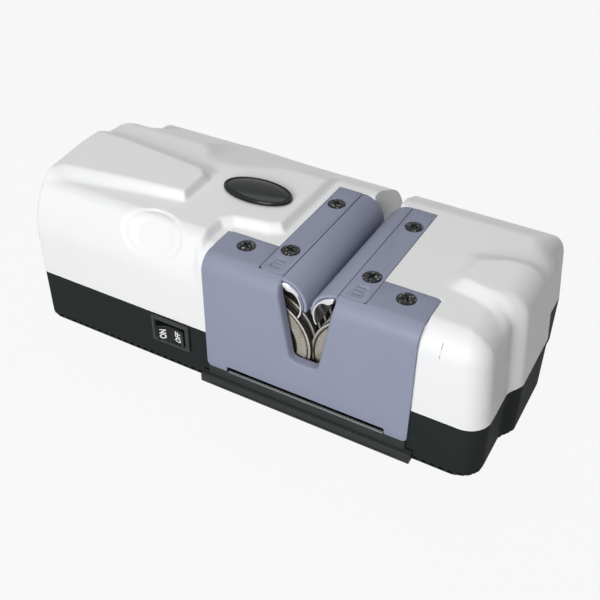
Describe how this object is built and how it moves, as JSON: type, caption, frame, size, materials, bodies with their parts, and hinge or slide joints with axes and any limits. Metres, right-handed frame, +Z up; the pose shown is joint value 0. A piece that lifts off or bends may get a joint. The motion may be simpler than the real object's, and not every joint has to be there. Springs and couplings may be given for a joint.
{
  "type": "electric knife sharpener",
  "caption": "Long rounded tabletop sharpener with a central blade slot between rolled guides over interleaved rotating abrasive discs, a rocker switch and a pull-out filings tray.",
  "frame": {"origin": "bottom centre of the whole part, level with the underside of the feet", "axes": "+X along the body towards the end nearest the blade slot, +Y from the front plate to the back wall, +Z up"},
  "size_m": [0.246, 0.118, 0.0845],
  "materials": {
    "white_shell": "satin moulded white",
    "black_shell": "fine-grained charcoal",
    "grey_plate": "satin metallic grey-violet paint",
    "bright_leaf": "bright rolled",
    "black_screw": "blackened steel",
    "gloss_black": "polished black",
    "abrasive": "grit-coated steel ring",
    "plain_steel": "turned and pressed",
    "bronze": "sintered bronze",
    "nylon": "natural nylon",
    "copper": "enamelled copper wire",
    "rubber": "matte black rubber"
  },
  "bodies": {
    "housing": {"upper_housing": "white_shell", "base_shell": "black_shell", "front_plate": "grey_plate", "left_guide_strip": "grey_plate", "left_blade_guide": "grey_plate", "left_guide_spring": "bright_leaf", "right_guide_strip": "grey_plate", "right_blade_guide": "grey_plate", "right_guide_spring": "bright_leaf", "badge": "gloss_black", "plate_screw_left": "black_screw", "plate_screw_right": "black_screw", "strip_screw_left_front": "black_screw", "strip_screw_left_back": "black_screw", "strip_screw_right_front": "black_screw", "strip_screw_right_back": "black_screw", "base_screw_front_left": "black_screw", "base_screw_front_right": "black_screw", "base_screw_back_left": "black_screw", "base_screw_back_right": "black_screw", "foot_front_left": "rubber", "foot_front_right": "rubber", "foot_back_left": "rubber", "foot_back_right": "rubber", "switch_bezel": "gloss_black", "left_front_bushing": "bronze", "left_rear_bushing": "bronze", "right_front_bushing": "bronze", "right_rear_bushing": "bronze", "front_bearing_plate": "plain_steel", "rear_bearing_plate": "plain_steel", "drive_belt": "rubber", "motor_stator": "plain_steel", "motor_winding": "copper", "motor_front_bracket": "plain_steel", "motor_rear_bracket": "plain_steel", "cord_gland": "rubber", "terminal_block": "nylon"},
    "rocker": {"power_rocker": "gloss_black"},
    "tray": {"filings_tray": "black_shell"},
    "left_set": {"left_arbor": "plain_steel", "left_disc_1": "abrasive", "left_disc_2": "abrasive", "left_disc_3": "abrasive", "left_disc_4": "abrasive", "left_disc_5": "abrasive", "left_gear": "nylon", "driven_pulley": "nylon"},
    "right_set": {"right_arbor": "plain_steel", "right_disc_1": "abrasive", "right_disc_2": "abrasive", "right_disc_3": "abrasive", "right_disc_4": "abrasive", "right_disc_5": "abrasive", "right_gear": "nylon"},
    "left_idler": {"left_idler_gear": "nylon"},
    "right_idler": {"right_idler_gear": "nylon"},
    "rotor": {"motor_rotor": "plain_steel", "motor_pulley": "nylon", "cooling_fan": "nylon"}
  },
  "joints": [
    {"name": "rocker_tilt", "type": "hinge", "parent": "housing", "child": "rocker", "pos_m": [-0.0395, -0.05337, 0.0232], "axis": [0, 0, -1], "range_deg": [0, 16]},
    {"name": "tray_slide", "type": "slide", "parent": "housing", "child": "tray", "axis": [0, -1, 0], "range_m": [0, 0.05]},
    {"name": "left_spin", "type": "hinge", "parent": "housing", "child": "left_set", "pos_m": [0.0106, 0, 0.0385], "axis": [0, 1, 0], "continuous": true},
    {"name": "right_spin", "type": "hinge", "parent": "housing", "child": "right_set", "pos_m": [0.0574, 0, 0.0385], "axis": [0, 1, 0], "continuous": true},
    {"name": "left_idler_spin", "type": "hinge", "parent": "housing", "child": "left_idler", "pos_m": [0.0262, 0, 0.0385], "axis": [0, 1, 0], "continuous": true},
    {"name": "right_idler_spin", "type": "hinge", "parent": "housing", "child": "right_idler", "pos_m": [0.0418, 0, 0.0385], "axis": [0, 1, 0], "continuous": true},
    {"name": "motor_spin", "type": "hinge", "parent": "housing", "child": "rotor", "pos_m": [-0.064, 0, 0.043], "axis": [0, 1, 0], "continuous": true}
  ],
  "couplings": [
    {"joint": "left_idler_spin", "follows": "left_spin", "ratio": -1},
    {"joint": "right_idler_spin", "follows": "left_spin", "ratio": 1},
    {"joint": "right_spin", "follows": "left_spin", "ratio": -1},
    {"joint": "motor_spin", "follows": "left_spin", "ratio": 1.872}
  ]
}
